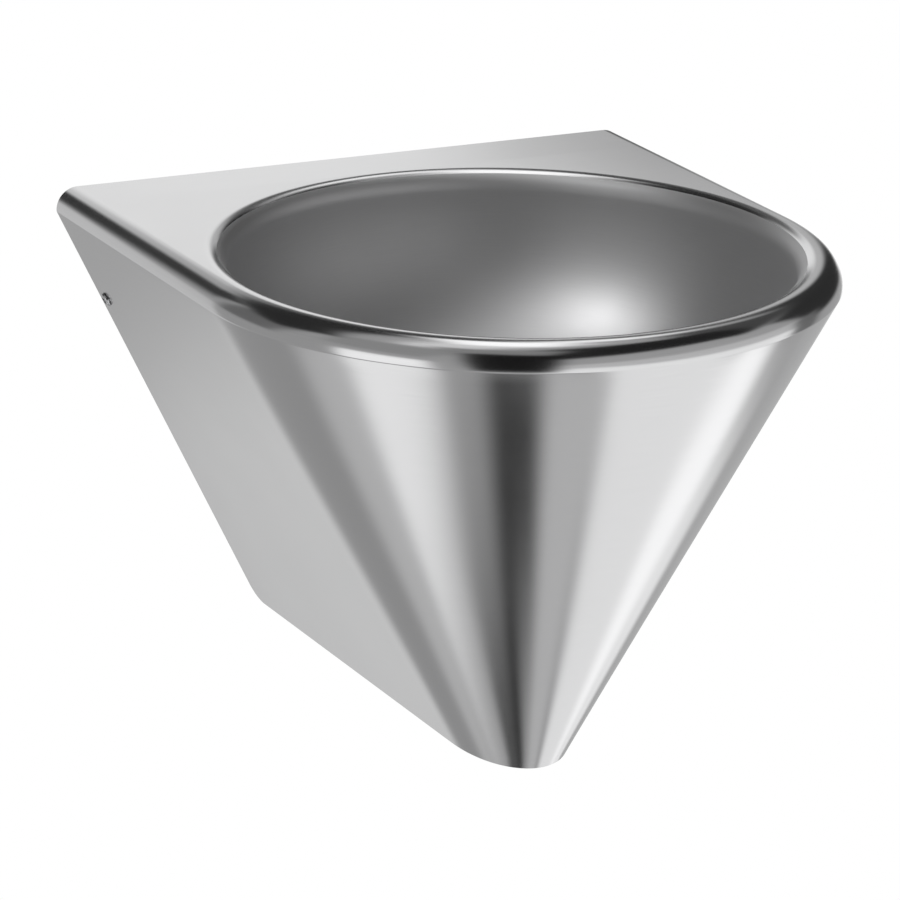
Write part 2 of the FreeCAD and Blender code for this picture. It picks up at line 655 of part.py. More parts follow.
def make_trap_body():
    """Hollow body with a threaded neck above, a threaded skirt below and a side outlet towards the wall."""
    shoulder = f"({BODY_Z} - body_neck_height)"
    thread_low = f"({BODY_FLOOR_Z} - thread_height)"
    body = turned_piece("trap_body", [
        ("0", thread_low), ("thread_radius", thread_low), ("thread_radius", BODY_FLOOR_Z),
        ("body_radius", BODY_FLOOR_Z), ("body_radius", shoulder), ("body_neck_radius", shoulder),
        ("body_neck_radius", BODY_Z), ("0", BODY_Z),
    ])
    spigot = plane_sketch(body, "XZ_Plane", "trap_spigot_end", "bowl_setback")
    circle(spigot, "0", OUTLET_Z, "spigot_radius")
    feature(body, "Pad", "trap_spigot", spigot, Length="spigot_length").Reversed = True
    hollow = plane_sketch(body, "XZ_Plane", "trap_hollow_profile", "bowl_setback")
    cavity = "(thread_radius - thread_wall)"
    outline(hollow, [
        ("0", f"{thread_low} - cut_overrun"), (cavity, f"{thread_low} - cut_overrun"),
        (cavity, f"{shoulder} - body_wall"), ("tube_radius + fit_clearance", f"{shoulder} - body_wall"),
        ("tube_radius + fit_clearance", f"{BODY_Z} + cut_overrun"), ("0", f"{BODY_Z} + cut_overrun"),
    ])
    turned(body, "Groove", "trap_hollow", hollow)
    bore = plane_sketch(body, "XZ_Plane", "trap_outlet_bore", f"bowl_setback - {cavity} + body_wall")
    circle(bore, "0", OUTLET_Z, "spigot_bore_radius")
    feature(body, "Pocket", "trap_outlet", bore, Length="spigot_length + cut_overrun")

    seal_top = f"({BODY_Z} + neck_seal)"
    nut_low = f"({seal_top} + union_floor - neck_nut_height)"
    seal = ring("trap_neck_seal", "tube_radius", "body_neck_radius - fit_clearance", BODY_Z, seal_top)
    nut = new_body("trap_neck_nut")
    plan = plane_sketch(nut, "XY_Plane", "trap_neck_nut_plan", nut_low)
    bind(plan, "AttachmentOffset.Base.y", "-bowl_setback")
    outline(plan, polygon(NUT_SIDES, "neck_nut_half_flats"))
    feature(nut, "Pad", "trap_neck_nut_block", plan, Length="neck_nut_height")
    profile = plane_sketch(nut, "XZ_Plane", "trap_neck_nut_bores", "bowl_setback")
    outline(profile, [
        ("0", f"{nut_low} - cut_overrun"), ("body_neck_radius + fit_clearance", f"{nut_low} - cut_overrun"),
        ("body_neck_radius + fit_clearance", seal_top), ("tube_radius + fit_clearance", seal_top),
        ("tube_radius + fit_clearance", f"{seal_top} + union_floor + cut_overrun"),
        ("0", f"{seal_top} + union_floor + cut_overrun"),
    ])
    turned(nut, "Groove", "trap_neck_nut_bored", profile)
    return [body, seal, nut]


def make_trap_cup():
    """Cup that screws up round the body's threaded skirt, with a flat seal on its rim and a fluted grip."""
    rim = f"({BODY_FLOOR_Z} - cup_seal)"
    inside = "(thread_radius + cup_clearance)"
    outside = f"({inside} + cup_wall)"
    floor = f"({rim} - cup_height)"
    seal = ring("trap_cup_seal", inside, outside, rim, BODY_FLOOR_Z)
    cup = turned_piece("trap_cup", [
        ("0", floor), (f"{outside} - cup_floor_radius", floor, "cup_floor_radius", 1),
        (outside, f"{floor} + cup_floor_radius"), (outside, rim), (inside, rim),
        (inside, f"{floor} + cup_floor_radius", "cup_floor_radius - cup_wall", -1),
        (f"{inside} - cup_floor_radius + cup_wall", f"{floor} + cup_wall"), ("0", f"{floor} + cup_wall"),
    ])
    flute = plane_sketch(cup, "XY_Plane", "trap_cup_flute_plan", f"{floor} + cup_height / 2")
    bind(flute, "AttachmentOffset.Base.y", "-bowl_setback")
    circle(flute, f"{outside} + cup_flute_radius - cup_wall / 2", "0", "cup_flute_radius")
    groove = feature(cup, "Pocket", "trap_cup_flute", flute, Length="cup_height")
    ring_pattern(cup, groove, flute, "trap_cup_flutes", CUP_FLUTES)
    return [seal, cup]


def along_wall_axis(label, points):
    """A piece turned about the outlet's level axis, from an outline of radius and y."""
    body = new_body(label)
    profile = plane_sketch(body, "XY_Plane", f"{label}_profile", OUTLET_Z)
    outline(profile, points)
    turned(body, "Revolution", f"{label}_turning", profile)
    return body


def make_outlet():
    """Compression nut and seal on the spigot, the pipe to the drain and the sliding rosette at the wall."""
    seal_end = f"({SPIGOT_END} + outlet_seal)"
    seal = along_wall_axis("trap_outlet_seal", [
        ("tube_radius", SPIGOT_END), ("spigot_radius - fit_clearance", SPIGOT_END),
        ("spigot_radius - fit_clearance", seal_end), ("tube_radius", seal_end),
    ])
    nut_end = f"({seal_end} + union_floor)"
    nut = new_body("trap_outlet_nut")
    plan = plane_sketch(nut, "XZ_Plane", "trap_outlet_nut_plan", f"-{nut_end}")
    bind(plan, "AttachmentOffset.Base.y", OUTLET_Z)
    outline(plan, polygon(NUT_SIDES, "outlet_nut_half_flats"))
    feature(nut, "Pad", "trap_outlet_nut_block", plan, Length="outlet_nut_length")
    profile = plane_sketch(nut, "XY_Plane", "trap_outlet_nut_bores", OUTLET_Z)
    mouth = f"{nut_end} - outlet_nut_length - cut_overrun"
    outline(profile, [
        ("0", mouth), ("spigot_radius + fit_clearance", mouth), ("spigot_radius + fit_clearance", seal_end),
        ("tube_radius + fit_clearance", seal_end), ("tube_radius + fit_clearance", f"{nut_end} + cut_overrun"),
        ("0", f"{nut_end} + cut_overrun"),
    ])
    turned(nut, "Groove", "trap_outlet_nut_bored", profile)
    pipe_start = f"({SPIGOT_END} - pipe_insertion)"
    pipe = along_wall_axis("trap_outlet_pipe", [
        ("tube_radius - tube_wall", pipe_start), ("tube_radius", pipe_start),
        ("tube_radius", "-pipe_mark_width"), ("tube_radius - pipe_mark_depth", "-pipe_mark_width"),
        ("tube_radius - pipe_mark_depth", "0"),
        ("tube_radius", "0"), ("tube_radius", "pipe_reach"), ("tube_radius - tube_wall", "pipe_reach"),
    ])
    neck = "(tube_radius + cup_clearance)"
    rosette = along_wall_axis("wall_rosette", [
        (neck, "-rosette_depth"), (f"{neck} + rosette_wall", "-rosette_depth"),
        (f"{neck} + rosette_wall", "-rosette_depth + rosette_neck"),
        ("rosette_radius", "-rosette_wall"), ("rosette_radius", "0"), ("rosette_radius - rosette_wall", "0"),
        (neck, "-rosette_depth + rosette_neck + rosette_wall"),
    ])
    return [seal, nut, pipe, rosette]


pieces = [make_deck(), make_bowl(), make_skirt(), make_bracket(), make_side_screws(), make_side_nuts()]
pieces += make_waste() + make_trap_inlet() + make_trap_body() + make_trap_cup() + make_outlet()
doc.recompute()

faults = [f"{thing.Name}: {thing.State}" for thing in doc.Objects if {"Invalid", "Error"} & set(thing.State)]
for piece in pieces:
    if piece.Shape.isNull() or not piece.Shape.isValid() or not piece.Shape.Solids:
        faults.append(f"{piece.Label}: no valid solid")
if faults:
    raise SystemExit("\n".join(faults))

os.makedirs("parts", exist_ok=True)
for piece in pieces:
    piece.Shape.exportStep(f"parts/{piece.Label}.step")
    print(f"{piece.Label}: {len(piece.Shape.Solids)} solid(s), {piece.Shape.Volume / 1000:.1f} cm3")
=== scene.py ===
import math

import bmesh
import bpy
from mathutils import Matrix, Vector
from mathutils.geometry import tessellate_polygon


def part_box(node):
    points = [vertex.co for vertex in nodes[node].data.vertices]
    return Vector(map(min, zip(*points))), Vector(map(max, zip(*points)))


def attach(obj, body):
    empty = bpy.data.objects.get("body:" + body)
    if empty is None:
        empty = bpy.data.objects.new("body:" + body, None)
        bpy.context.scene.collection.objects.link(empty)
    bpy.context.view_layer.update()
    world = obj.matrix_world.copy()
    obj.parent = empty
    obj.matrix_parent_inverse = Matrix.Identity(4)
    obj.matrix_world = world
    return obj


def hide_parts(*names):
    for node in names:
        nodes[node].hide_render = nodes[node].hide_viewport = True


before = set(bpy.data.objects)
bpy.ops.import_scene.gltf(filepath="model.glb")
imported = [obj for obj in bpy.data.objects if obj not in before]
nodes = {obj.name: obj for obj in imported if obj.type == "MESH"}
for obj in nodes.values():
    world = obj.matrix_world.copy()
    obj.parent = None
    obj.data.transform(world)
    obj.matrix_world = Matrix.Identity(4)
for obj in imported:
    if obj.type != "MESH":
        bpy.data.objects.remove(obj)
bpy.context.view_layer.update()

# Wall bracket: a folded stainless plate with a hook strip and two ears, screwed to the wall.
# It keeps the dull mill finish of the sheet it was cut from, because the basin hides it.
# Its two weld nuts have the same finish.


def grain_group(name):
    """Fine parallel scratches left by a brushing belt: long along the vector's x, narrow across it."""
    group = bpy.data.node_groups.new(name, "ShaderNodeTree")
    group.interface.new_socket("Vector", in_out="INPUT", socket_type="NodeSocketVector")
    for socket, default in (("Along", 20.0), ("Across", 2500.0), ("Clouds", 14.0)):
        made = group.interface.new_socket(socket, in_out="INPUT", socket_type="NodeSocketFloat")
        made.default_value = default
    for socket in ("Scratch", "Cloud"):
        group.interface.new_socket(socket, in_out="OUTPUT", socket_type="NodeSocketFloat")
    tree, link = group.nodes, group.links.new
    given, put = tree.new("NodeGroupInput"), tree.new("NodeGroupOutput")
    stretch = tree.new("ShaderNodeCombineXYZ")
    link(given.outputs["Along"], stretch.inputs["X"])
    link(given.outputs["Across"], stretch.inputs["Y"])
    link(given.outputs["Across"], stretch.inputs["Z"])
    scaled = tree.new("ShaderNodeVectorMath")
    scaled.operation = "MULTIPLY"
    link(given.outputs["Vector"], scaled.inputs[0])
    link(stretch.outputs[0], scaled.inputs[1])
    scratch = tree.new("ShaderNodeTexNoise")
    scratch.inputs["Scale"].default_value = 1.0
    scratch.inputs["Detail"].default_value = 3.0
    scratch.inputs["Roughness"].default_value = 0.65
    link(scaled.outputs[0], scratch.inputs["Vector"])
    cloud = tree.new("ShaderNodeTexNoise")
    cloud.inputs["Detail"].default_value = 4.0
    link(given.outputs["Vector"], cloud.inputs["Vector"])
    link(given.outputs["Clouds"], cloud.inputs["Scale"])
    link(scratch.outputs["Fac"], put.inputs["Scratch"])
    link(cloud.outputs["Fac"], put.inputs["Cloud"])
    return group


BELT_GRAIN = grain_group("belt_grain")
SCRATCH_HEIGHT = 0.00002


def metal(name, dark, light, rough, coordinates, along, across, scratch_depth, anisotropic=0.0):
    """A metal finish: two close greys and a roughness range mixed by the grain, with the scratches as bump."""
    material = bpy.data.materials.new(name)
    material.use_nodes = True
    tree, link = material.node_tree.nodes, material.node_tree.links.new
    shader = tree["Principled BSDF"]
    shader.inputs["Metallic"].default_value = 1.0
    shader.inputs["Anisotropic"].default_value = anisotropic
    shader.inputs["Anisotropic Rotation"].default_value = 0.25
    place = tree.new("ShaderNodeTexCoord")
    grain = tree.new("ShaderNodeGroup")
    grain.node_tree = BELT_GRAIN
    grain.inputs["Along"].default_value = along
    grain.inputs["Across"].default_value = across
    link(place.outputs[coordinates], grain.inputs["Vector"])
    tone = tree.new("ShaderNodeMix")
    tone.data_type = "RGBA"
    tone.inputs["A"].default_value = (*dark, 1)
    tone.inputs["B"].default_value = (*light, 1)
    link(grain.outputs["Scratch"], tone.inputs["Factor"])
    link(tone.outputs["Result"], shader.inputs["Base Color"])
    spread = tree.new("ShaderNodeMapRange")
    spread.inputs["To Min"].default_value = rough[0]
    spread.inputs["To Max"].default_value = rough[1]
    link(grain.outputs["Cloud"], spread.inputs["Value"])
    link(spread.outputs["Result"], shader.inputs["Roughness"])
    bump = tree.new("ShaderNodeBump")
    bump.inputs["Strength"].default_value = scratch_depth
    bump.inputs["Distance"].default_value = SCRATCH_HEIGHT
    link(grain.outputs["Scratch"], bump.inputs["Height"])
    link(bump.outputs["Normal"], shader.inputs["Normal"])
    if anisotropic and coordinates == "UV":
        tangent = tree.new("ShaderNodeTangent")
        tangent.direction_type = "UV_MAP"
        link(tangent.outputs[0], shader.inputs["Tangent"])
    return material


def finish_node(name, material):
    """Gives a carried-over CAD node its finish."""
    nodes[name].data.materials.clear()
    nodes[name].data.materials.append(material)


mill_steel = metal("mill_steel", dark=(0.36, 0.36, 0.37), light=(0.50, 0.50, 0.51), rough=(0.32, 0.5),
                   coordinates="Object", along=60, across=900, scratch_depth=0.3)
finish_node("wall_bracket", mill_steel)
finish_node("side_nuts", mill_steel)

# Deck: one pressed stainless sheet with a rolled outer edge, a rounded bowl mouth and a turned-down rear.
# It is belt-brushed along its width, and its welds to bowl and skirt are ground flush.
SHEET = 0.0012
SHARP_EDGE = math.radians(20)
ROLL_RADIUS = 0.0130
LIP_RADIUS = 0.0116
WALL_FLARE = 0.0063
FLANGE_HALF_WIDTH = 0.150
ROLL_STEPS = 28
LIP_STEPS = 16
FRONT_STEPS = 160
SIDE_STEPS = 24
MOUTH_STEPS = 256
deck_low, deck_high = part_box("deck")
bowl_low, bowl_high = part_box("bowl")
_, skirt_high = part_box("skirt")
deck_z, seam_z, flange_z, collar_z = deck_high.z, skirt_high.z, deck_low.z, bowl_high.z
axis_y = (bowl_low.y + bowl_high.y) / 2
bowl_radius = bowl_high.x - SHEET
mouth_radius = bowl_radius + LIP_RADIUS
rim_radius = deck_high.x - WALL_FLARE


def plan(half_width, radius, setback, side_shares, stretch=1.0):
    """The basin's plan from the left wall end round to the right: places, outward normals and lengths along it.
    A stretch draws the round front out from the wall into an oval."""
    setback = setback / stretch
    reach = math.hypot(half_width, setback)
    splay = math.acos(radius / reach) - math.atan2(setback, half_width)
    left_normal = Vector((-math.cos(splay), -math.sin(splay)))
    right_normal = Vector((math.cos(splay), -math.sin(splay)))
    centre = Vector((0, -setback))
    corner = Vector((-half_width, 0))
    toe = centre + left_normal * radius
    points = [(corner.lerp(toe, share), left_normal) for share in side_shares]
    for i in range(1, FRONT_STEPS):
        angle = math.pi + splay + (math.pi - 2 * splay) * i / FRONT_STEPS
        normal = Vector((math.cos(angle), math.sin(angle)))
        points.append((centre + normal * radius, normal))
    for share in reversed(side_shares):
        place = corner.lerp(toe, share)
        points.append((Vector((-place.x, place.y)), right_normal))
    points = [(Vector((p.x, p.y * stretch)), Vector((n.x, n.y / stretch)).normalized()) for p, n in points]
    lengths = [0.0]
    for (a, _), (b, _) in zip(points, points[1:]):
        lengths.append(lengths[-1] + (b - a).length)
    return points, lengths


def face_with_uv(mesh, layer, corners, uvs):
    """A smooth face with one uv for each corner."""
    face = mesh.faces.new(corners)
    face.smooth = True
    for loop, uv in zip(face.loops, uvs):
        loop[layer].uv = uv
    return face


def strip(mesh, layer, rows, row_uvs, closed=False, finish=0):
    """Quads between neighbouring rows of vertices. A closed row has one uv more than it has vertices."""
    for row, after, uvs, uvs_after in zip(rows, rows[1:], row_uvs, row_uvs[1:]):
        for c in range(len(row) if closed else len(row) - 1):
            d = (c + 1) % len(row)
            face = face_with_uv(mesh, layer, (row[c], after[c], after[d], row[d]),
                                (uvs[c], uvs_after[c], uvs_after[c + 1], uvs[c + 1]))
            face.material_index = finish


def sheet_piece(name, mesh, finishes, thickness):
    """Turns an open skin into a closed sheet of its thickness, grown inwards and trimmed flush with the wall."""
    data = bpy.data.meshes.new(name)
    mesh.to_mesh(data)
    mesh.free()
    for material in finishes:
        data.materials.append(material)
    piece = bpy.data.objects.new(name, data)
    bpy.context.scene.collection.objects.link(piece)
    wall = piece.modifiers.new("wall", "SOLIDIFY")
    wall.thickness = thickness
    wall.offset = -1
    wall.use_even_offset = True
    solid = bpy.data.meshes.new_from_object(piece.evaluated_get(bpy.context.evaluated_depsgraph_get()))
    piece.modifiers.clear()
    for corner in solid.vertices:
        corner.co.y = min(corner.co.y, 0)
    piece.data = solid
    solid.name = name
    solid.set_sharp_from_angle(angle=SHARP_EDGE)
    return piece


deck_plan, deck_lengths = plan(rim_radius + WALL_FLARE, rim_radius, -axis_y,
                               [i / SIDE_STEPS for i in range(SIDE_STEPS + 1)])
deck = bmesh.new()
deck_uv = deck.loops.layers.uv.new("UVMap")
roll_rows, roll_uvs = [], []
for i in range(ROLL_STEPS + 1):
    turn = math.pi / 2 * i / ROLL_STEPS
    inset, drop = ROLL_RADIUS * (1 - math.sin(turn)), ROLL_RADIUS * (1 - math.cos(turn))
    roll_rows.append([deck.verts.new((*(p - n * inset), deck_z - drop)) for p, n in deck_plan])
    roll_uvs.append([(length, ROLL_RADIUS * turn) for length in deck_lengths])
strip(deck, deck_uv, roll_rows, roll_uvs)
lip_rows, lip_uvs = [], []
for i in range(LIP_STEPS + 1):
    turn = math.pi / 2 * i / LIP_STEPS
    radius, height = mouth_radius - LIP_RADIUS * math.sin(turn), deck_z - LIP_RADIUS * (1 - math.cos(turn))
    lip_rows.append((radius, height, LIP_RADIUS * turn))
lip_rows.append((bowl_radius, collar_z, LIP_RADIUS * math.pi / 2 + deck_z - LIP_RADIUS - collar_z))
ring_angles = [2 * math.pi * i / MOUTH_STEPS - math.pi / 2 for i in range(MOUTH_STEPS + 1)]


def turned_rows(mesh, profile, axis):
    """Closed rings of vertices for a profile of (radius, height, length along it) turned about an upright axis."""
    rows, uvs = [], []
    for radius, height, length in profile:
        rows.append([mesh.verts.new((radius * math.cos(a), axis + radius * math.sin(a), height))
                     for a in ring_angles[:-1]])
        uvs.append([(a * bowl_radius, length) for a in ring_angles])
    return rows, uvs


mouth_rows, mouth_uvs = turned_rows(deck, lip_rows, axis_y)
lip_crest = LIP_STEPS * 3 // 8  # the polish stops here, and the spun finish of the bowl begins
strip(deck, deck_uv, mouth_rows[lip_crest::-1], mouth_uvs[lip_crest::-1], closed=True)
strip(deck, deck_uv, mouth_rows[:lip_crest - 1:-1], mouth_uvs[:lip_crest - 1:-1], closed=True, finish=1)
flat = roll_rows[0] + mouth_rows[0]
loops = [[v.co for v in roll_rows[0]], [v.co for v in mouth_rows[0]]]
for corners in tessellate_polygon(loops):
    corners = [flat[i] for i in corners]
    face = face_with_uv(deck, deck_uv, corners, [v.co.xy for v in corners])
    face.normal_update()
    if face.normal.z < 0:
        face.normal_flip()
rear = [row[0] for row in roll_rows]
rear += [deck.verts.new((x, 0, z)) for x, z in ((-FLANGE_HALF_WIDTH, seam_z), (-FLANGE_HALF_WIDTH, flange_z),
                                                (FLANGE_HALF_WIDTH, flange_z), (FLANGE_HALF_WIDTH, seam_z))]
rear += [row[-1] for row in reversed(roll_rows)]
rear_face = face_with_uv(deck, deck_uv, rear, [(v.co.x, v.co.z) for v in rear])
rear_face.normal_update()
if rear_face.normal.y < 0:
    rear_face.normal_flip()
STEEL_DARK, STEEL_LIGHT = (0.58, 0.58, 0.585), (0.66, 0.66, 0.665)
satin_steel = metal("satin_steel", STEEL_DARK, STEEL_LIGHT, rough=(0.12, 0.18), coordinates="UV", along=30,
                    across=3500, scratch_depth=0.25, anisotropic=0.3)
spun_steel = metal("spun_steel", STEEL_DARK, STEEL_LIGHT, rough=(0.5, 0.58), coordinates="UV", along=30,
                   across=3500, scratch_depth=0.25, anisotropic=0.2)
deck_piece = sheet_piece("deck_sheet", deck, (satin_steel, spun_steel), SHEET)
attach(deck_piece, "basin")
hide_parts("deck")

# Bowl: a dish deep-drawn from one disc, spun-polished, and butt-welded to the mouth of the deck.
# Its floor is pressed down a little into a flat seat for the waste.
KNUCKLE_RADIUS = 0.090
CROWN_RADIUS = 0.220
SEAT_RADIUS = 0.034
SEAT_DROP = 0.003
WASTE_HOLE_RADIUS = 0.0225
KNUCKLE_STEPS = 32
CROWN_STEPS = 24
crown_offset = math.sqrt((CROWN_RADIUS - KNUCKLE_RADIUS) ** 2 - (bowl_radius - KNUCKLE_RADIUS) ** 2)
crown_z = collar_z + crown_offset
knuckle_end = math.atan2(crown_offset, bowl_radius - KNUCKLE_RADIUS)
dish = []
for i in range(KNUCKLE_STEPS + 1):
    turn = knuckle_end * i / KNUCKLE_STEPS
    dish.append((bowl_radius - KNUCKLE_RADIUS * (1 - math.cos(turn)), collar_z - KNUCKLE_RADIUS * math.sin(turn)))
crown_start, crown_end = math.pi / 2 - knuckle_end, math.asin(SEAT_RADIUS / CROWN_RADIUS)
for i in range(1, CROWN_STEPS + 1):
    turn = crown_start + (crown_end - crown_start) * i / CROWN_STEPS
    dish.append((CROWN_RADIUS * math.sin(turn), crown_z - CROWN_RADIUS * math.cos(turn)))
dish.append((SEAT_RADIUS, dish[-1][1] - SEAT_DROP))
dish.append((WASTE_HOLE_RADIUS, dish[-1][1]))
dish_lengths = [0.0]
for a, b in zip(dish, dish[1:]):
    dish_lengths.append(dish_lengths[-1] + math.dist(a, b))
bowl = bmesh.new()
bowl_uv = bowl.loops.layers.uv.new("UVMap")
bowl_rows, bowl_uvs = turned_rows(bowl, [(r, z, s) for (r, z), s in zip(dish, dish_lengths)], axis_y)
strip(bowl, bowl_uv, bowl_rows[::-1], bowl_uvs[::-1], closed=True)
bowl_piece = sheet_piece("bowl_dish", bowl, (spun_steel,), SHEET)
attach(bowl_piece, "basin")
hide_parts("bowl")

# Skirt: a shroud rolled from one sheet, a cone in front and nearly flat at the sides, open at the wall and foot.
# It is welded under the rolled edge of the deck, and its brushing runs round it.
FOOT_RADIUS = 0.0352
FOOT_HALF_WIDTH = 0.0615
FOOT_FRONT = 0.2598
FOOT_DEPTH = 0.2754
FOOT_STRETCH = 1.62
FOOT_TILT = math.radians(3.2)
FOOT_CORNER_RADIUS = 0.009
FOOT_CORNER_STEPS = 8
FOOT_CORNER_SHARE = 0.006
WELD_STEPS = 5
SKIRT_STEPS = 40
foot_z = deck_z - FOOT_DEPTH
corner_shares = [FOOT_CORNER_SHARE * i for i in range(FOOT_CORNER_STEPS + 1)]
side_shares = corner_shares + [corner_shares[-1] + (1 - corner_shares[-1]) * i / SIDE_STEPS
                               for i in range(1, SIDE_STEPS + 1)]
top_plan, top_lengths = plan(rim_radius + WALL_FLARE, rim_radius, -axis_y, side_shares)
foot_plan, foot_lengths = plan(FOOT_HALF_WIDTH, FOOT_RADIUS, FOOT_FRONT - FOOT_RADIUS * FOOT_STRETCH, side_shares,
                               FOOT_STRETCH)
skirt = bmesh.new()
skirt_uv = skirt.loops.layers.uv.new("UVMap")
skirt_rows = [[] for _ in range(WELD_STEPS + SKIRT_STEPS + 1)]
skirt_uvs = [[] for _ in range(WELD_STEPS + SKIRT_STEPS + 1)]
for (top, _), (low, _), length in zip(top_plan, foot_plan, top_lengths):
    head = Vector((*top, seam_z))
    toe = Vector((low.x, low.y * math.cos(FOOT_TILT), foot_z + low.y * math.sin(FOOT_TILT)))
    inside = max(FOOT_CORNER_RADIUS + toe.y, 0)
    lift = FOOT_CORNER_RADIUS - math.sqrt(FOOT_CORNER_RADIUS ** 2 - inside ** 2)
    stop = 1 - lift / (head.z - toe.z)
    weld_top = Vector((head.x, head.y, deck_z - ROLL_RADIUS))
    weld_low = head + (toe - head).normalized() * (weld_top.z - head.z)
    for i in range(WELD_STEPS):
        share = i / WELD_STEPS
        place = weld_top.lerp(head, share).lerp(head.lerp(weld_low, share), share)
        skirt_rows[i].append(skirt.verts.new(place))
        skirt_uvs[i].append((length, -(place - weld_low).length))
    for i in range(SKIRT_STEPS + 1):
        place = weld_low.lerp(toe, stop * i / SKIRT_STEPS)
        skirt_rows[WELD_STEPS + i].append(skirt.verts.new(place))
        skirt_uvs[WELD_STEPS + i].append((length, (weld_low - place).length))
strip(skirt, skirt_uv, skirt_rows, skirt_uvs)
skirt_piece = sheet_piece("skirt_shroud", skirt, (satin_steel,), SHEET)
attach(skirt_piece, "basin")
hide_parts("skirt")

# Side screws: two low-head stainless screws that lock the skirt to the ears of the wall bracket.
# They are turned from bright bar and fit the nuts held behind the ears.
bright_steel = metal("bright_steel", dark=(0.50, 0.50, 0.51), light=(0.64, 0.64, 0.65), rough=(0.18, 0.3),
                     coordinates="Object", along=400, across=2500, scratch_depth=0.15)
finish_node("side_screws", bright_steel)

# Grid waste: a pressed stainless grid drawn down by one screw onto a chromed brass body with a threaded tail.
# Rubber gaskets seal it to both sides of the bowl. The thread is wound on by rule.
chrome = metal("chrome_plate", dark=(0.60, 0.60, 0.62), light=(0.72, 0.72, 0.74), rough=(0.05, 0.12),
               coordinates="Object", along=90, across=300, scratch_depth=0.05)
for name in ("waste_grid", "waste_screw"):
    finish_node(name, bright_steel)
finish_node("waste_body", chrome)
TAIL_RADIUS = 0.02095
TAIL_FLANGE = 0.004
TAIL_PITCH = 0.0023
TAIL_RIDGE = 0.0005
THREAD_RUNOUT = 0.0012
THREAD_FLANK = 0.42  # of the pitch, on each side of the crest
THREAD_FADE = 0.25  # of a turn, at each end
THREAD_POINTS = 96  # in each turn


def thread_group(name):
    """A screw thread: one V-shaped ridge wound up an upright cylinder, fading out at both ends."""
    group = bpy.data.node_groups.new(name, "GeometryNodeTree")
    for socket, kind in (("Foot", "Vector"), ("Radius", "Float"), ("Pitch", "Float"), ("Turns", "Float"),
                         ("Ridge", "Float"), ("Finish", "Material")):
        group.interface.new_socket(socket, in_out="INPUT", socket_type="NodeSocket" + kind)
    group.interface.new_socket("Geometry", in_out="OUTPUT", socket_type="NodeSocketGeometry")
    tree, link = group.nodes, group.links.new
    given, put = tree.new("NodeGroupInput"), tree.new("NodeGroupOutput")

    def math_step(operation, first, second):
        """One math node. A number is set on its socket, and anything else is linked to it."""
        step = tree.new("ShaderNodeMath")
        step.operation = operation
        for socket, value in zip(step.inputs, (first, second)):
            if isinstance(value, float):
                socket.default_value = value
            else:
                link(value, socket)
        return step.outputs[0]

    wind = tree.new("GeometryNodeCurveSpiral")
    wind.inputs["Resolution"].default_value = THREAD_POINTS
    link(given.outputs["Turns"], wind.inputs["Rotations"])
    link(given.outputs["Radius"], wind.inputs["Start Radius"])
    link(given.outputs["Radius"], wind.inputs["End Radius"])
    link(math_step("MULTIPLY", given.outputs["Pitch"], given.outputs["Turns"]), wind.inputs["Height"])
    upright = tree.new("GeometryNodeSetCurveNormal")
    upright.mode = "Z_UP"
    link(wind.outputs["Curve"], upright.inputs["Curve"])
    along = tree.new("GeometryNodeSplineParameter")
    from_end = math_step("MULTIPLY", math_step("PINGPONG", along.outputs["Factor"], 0.5), given.outputs["Turns"])
    fade = tree.new("ShaderNodeMapRange")
    fade.inputs["From Max"].default_value = THREAD_FADE
    fade.inputs["To Min"].default_value = 0.1
    link(from_end, fade.inputs["Value"])
    sized = tree.new("GeometryNodeSetCurveRadius")
    link(upright.outputs["Curve"], sized.inputs["Curve"])
    link(fade.outputs["Result"], sized.inputs["Radius"])
    section = tree.new("GeometryNodeCurvePrimitiveCircle")
    section.inputs["Resolution"].default_value = 4
    section.inputs["Radius"].default_value = 1.0
    flank = tree.new("ShaderNodeCombineXYZ")
    link(given.outputs["Ridge"], flank.inputs["X"])
    link(math_step("MULTIPLY", given.outputs["Pitch"], THREAD_FLANK), flank.inputs["Y"])
    flank.inputs["Z"].default_value = 1.0
    wedge = tree.new("GeometryNodeTransform")
    link(section.outputs["Curve"], wedge.inputs["Geometry"])
    link(flank.outputs[0], wedge.inputs["Scale"])
    ridge = tree.new("GeometryNodeCurveToMesh")
    ridge.inputs["Fill Caps"].default_value = True
    link(sized.outputs["Curve"], ridge.inputs["Curve"])
    link(wedge.outputs["Geometry"], ridge.inputs["Profile Curve"])
    placed = tree.new("GeometryNodeTransform")
    link(ridge.outputs["Mesh"], placed.inputs["Geometry"])
    link(given.outputs["Foot"], placed.inputs["Translation"])
    real = tree.new("GeometryNodeRealizeInstances")
    link(placed.outputs["Geometry"], real.inputs["Geometry"])
    finish = tree.new("GeometryNodeSetMaterial")
    link(real.outputs["Geometry"], finish.inputs["Geometry"])
    link(given.outputs["Finish"], finish.inputs["Material"])
    link(finish.outputs["Geometry"], put.inputs["Geometry"])
    return group


THREAD = thread_group("screw_thread")


def thread_piece(name, foot_z, top_z, radius, pitch, ridge):
    """A finished thread on the waste and trap axis, between two heights."""
    piece = bpy.data.objects.new(name, bpy.data.meshes.new(name))
    bpy.context.scene.collection.objects.link(piece)
    winder = piece.modifiers.new("thread", "NODES")
    winder.node_group = THREAD
    sizes = {"Foot": (0.0, axis_y, foot_z), "Radius": radius, "Pitch": pitch, "Turns": (top_z - foot_z) / pitch,
             "Ridge": ridge, "Finish": chrome}
    for socket in THREAD.interface.items_tree:
        if socket.in_out == "INPUT":
            winder[socket.identifier] = sizes[socket.name]
    wound = bpy.data.meshes.new_from_object(piece.evaluated_get(bpy.context.evaluated_depsgraph_get()))
    piece.modifiers.clear()
    piece.data = wound
    wound.name = name
    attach(piece, "basin")


